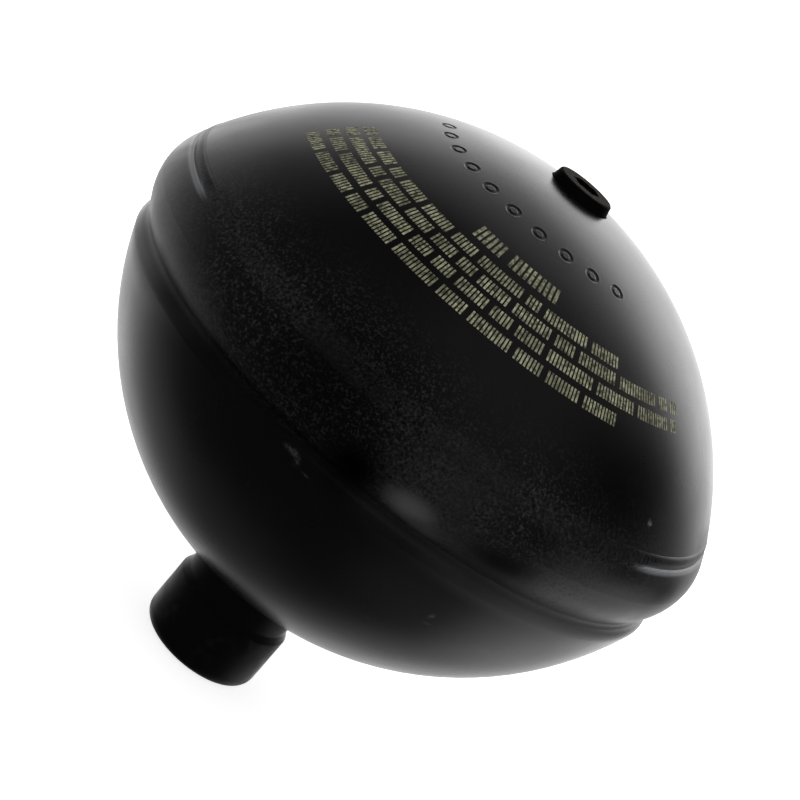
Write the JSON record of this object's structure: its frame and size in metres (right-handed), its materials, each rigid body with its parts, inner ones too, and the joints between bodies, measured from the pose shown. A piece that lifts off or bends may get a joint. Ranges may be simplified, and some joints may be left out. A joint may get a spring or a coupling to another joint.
{
  "type": "hydraulic accumulator",
  "caption": "Small diaphragm accumulator: a welded steel vessel with a belt at its seam, a gas screw plug at one pole and a threaded fluid port in a neck at the other.",
  "frame": {"origin": "centre of the fluid port's end face", "axes": "+Z along the vessel's axis from the fluid port to the gas plug; the body is round, so X and Y are free"},
  "size_m": [0.1182, 0.1182, 0.1123],
  "materials": {
    "black_paint": "semi-gloss black paint with slight orange peel",
    "painted_weld": "black paint over a weld bead",
    "neck_paint": "satin black over a turned surface",
    "plug_black": "dull black",
    "seal_rubber": "moulded",
    "bare_steel": "turned, uncoated",
    "diaphragm_rubber": "moulded, matte",
    "button_aluminium": "turned"
  },
  "bodies": {
    "root": {"upper_shell": "black_paint", "lower_shell": "black_paint", "seam_weld": "painted_weld", "port_boss": "neck_paint", "port_weld": "painted_weld", "gas_plug": "plug_black", "plug_seal": "seal_rubber", "gas_boss": "bare_steel", "gas_boss_weld": "bare_steel", "clamp_ring": "bare_steel", "diaphragm": "diaphragm_rubber", "diaphragm_button": "button_aluminium"}
  },
  "joints": []
}
